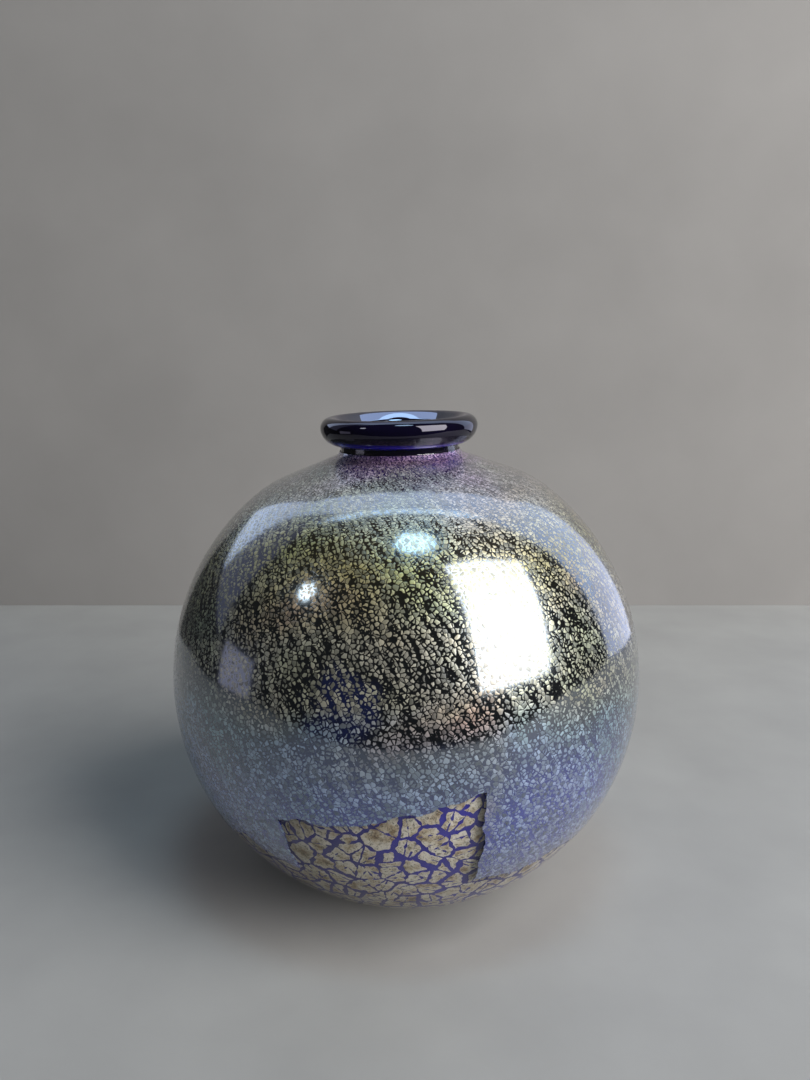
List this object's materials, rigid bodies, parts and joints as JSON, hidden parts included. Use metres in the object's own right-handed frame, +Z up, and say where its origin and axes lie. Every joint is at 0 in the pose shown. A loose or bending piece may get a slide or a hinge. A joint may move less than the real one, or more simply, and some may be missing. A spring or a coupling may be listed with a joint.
{
  "type": "art glass vase",
  "caption": "Round blown glass vase: cobalt bubble under silver leaf, cased in clear glass, iridised leaf skin, short neck, rolled cobalt lip.",
  "frame": {"origin": "centre of the ground base ring, on the plane that the vase stands on", "axes": "+Z up, square to the ground base, towards the mouth; the blown form leans 1.7 degrees from it towards -X; -Y is the front, where the outer leaf stops short and shows the coarse leaf under the casing; +X to the right of the front"},
  "size_m": [0.13, 0.13, 0.133],
  "materials": {
    "cobalt_glass": "fire polished, near opaque cobalt",
    "first_silver_leaf": "coarse broken silver leaf, cream and gold",
    "clear_glass": "fire polished clear glass",
    "iridised_leaf": "fine crackled silver leaf with a fumed iridescent skin",
    "lip_glass": "fire polished cobalt, near black"
  },
  "bodies": {
    "root": {"cobalt_bubble": "cobalt_glass", "first_leaf": "first_silver_leaf", "clear_casing": "clear_glass", "lip_wrap": "lip_glass", "leaf_sheet_front": "iridised_leaf", "leaf_sheet_right": "iridised_leaf", "leaf_sheet_back": "iridised_leaf", "leaf_sheet_left": "iridised_leaf"}
  },
  "joints": []
}
